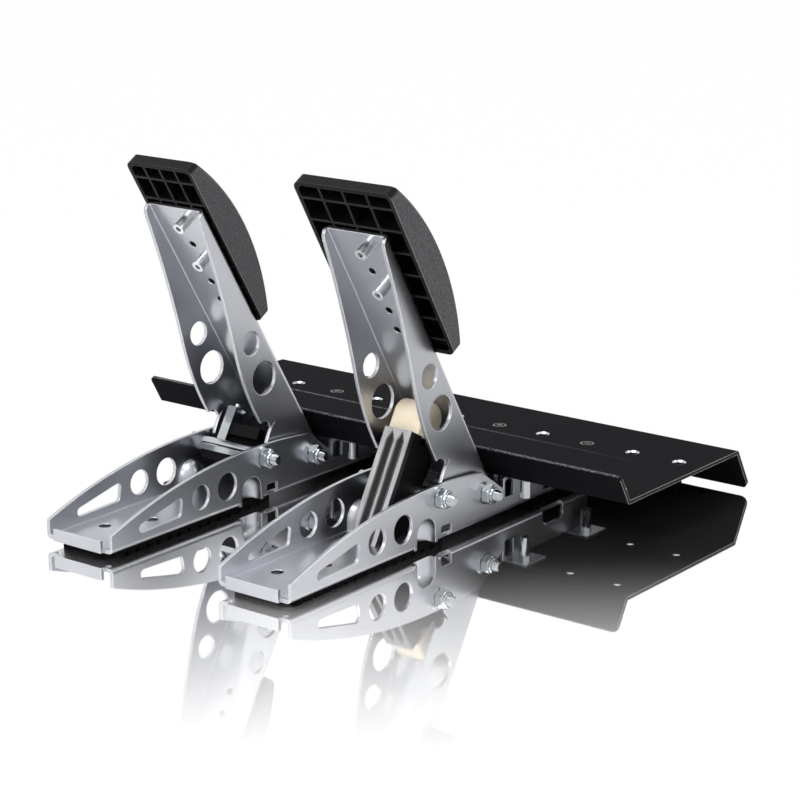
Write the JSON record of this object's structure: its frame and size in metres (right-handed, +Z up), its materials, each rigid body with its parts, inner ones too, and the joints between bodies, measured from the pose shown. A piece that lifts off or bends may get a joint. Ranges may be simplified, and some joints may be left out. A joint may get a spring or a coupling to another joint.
{
  "type": "sim racing pedal set",
  "caption": "Foot controller with a bent steel heel plate, channel bases, hinged throttle and brake arms, ribbed curved pads, a spring return and an elastomer brake damper.",
  "frame": {"origin": "centre of the footprint on the floor", "axes": "+X to the driver's right (throttle side), +Y away from the driver, the way the pedals are pressed, +Z up"},
  "size_m": [0.33, 0.3038, 0.1995],
  "materials": {
    "black_steel": "satin black powder coat",
    "black_screws": "black oxide",
    "rubber": "matt",
    "zinc": "bright zinc",
    "black_plastic": "matt",
    "grooved_face": "satin",
    "elastomer": "smooth",
    "satin_steel": "satin",
    "pad_plastic": "fine grained",
    "magnet": "nickel",
    "spring_wire": "bright"
  },
  "bodies": {
    "chassis": {"throttle_base": "satin_steel", "brake_base": "satin_steel", "heel_plate": "black_steel", "heel_plate_screws": "black_screws", "heel_plate_feet": "rubber", "throttle_barrels": "zinc", "brake_barrels": "zinc", "throttle_feet": "rubber", "brake_feet": "rubber", "throttle_bolts": "zinc", "brake_bolts": "zinc", "throttle_nuts": "zinc", "brake_nuts": "zinc", "throttle_washers": "zinc", "brake_washers": "zinc", "throttle_sleeves": "zinc", "brake_pivot_sleeve": "zinc", "brake_column_spacers": "zinc", "brake_column": "black_plastic", "brake_column_face": "grooved_face", "brake_bumper": "elastomer", "brake_sensor": "black_plastic", "throttle_housing": "black_plastic", "throttle_strip": "zinc", "throttle_bracket": "zinc", "throttle_sensor": "black_plastic", "throttle_spring": "spring_wire"},
    "throttle_pedal": {"throttle_arm": "satin_steel", "throttle_bushes": "black_plastic", "throttle_pad": "pad_plastic", "throttle_pad_screws": "zinc", "throttle_magnet": "magnet"},
    "brake_pedal": {"brake_arm": "satin_steel", "brake_bushes": "black_plastic", "brake_pad": "pad_plastic", "brake_pad_screws": "zinc", "brake_magnet": "magnet"},
    "plunger": {"throttle_plunger": "zinc"}
  },
  "joints": [
    {"name": "throttle_press", "type": "hinge", "parent": "chassis", "child": "throttle_pedal", "pos_m": [0.06, -0.011, 0.0198], "axis": [-1, 0, 0], "range_deg": [0, 20], "stiffness_Nm_per_rad": 8, "springref_deg": -14.32},
    {"name": "brake_press", "type": "hinge", "parent": "chassis", "child": "brake_pedal", "pos_m": [-0.06, -0.011, 0.0198], "axis": [-1, 0, 0], "range_deg": [0, 6], "stiffness_Nm_per_rad": 150, "springref_deg": -0.57, "deforming": ["brake_bumper"]},
    {"name": "plunger_slide", "type": "slide", "parent": "chassis", "child": "plunger", "axis": [0, 0.8508, -0.5255], "range_m": [0, 0.0059], "deforming": ["throttle_spring"]}
  ],
  "couplings": [
    {"joint": "plunger_slide", "follows": "throttle_press", "m_per_rad": 0.01678}
  ]
}
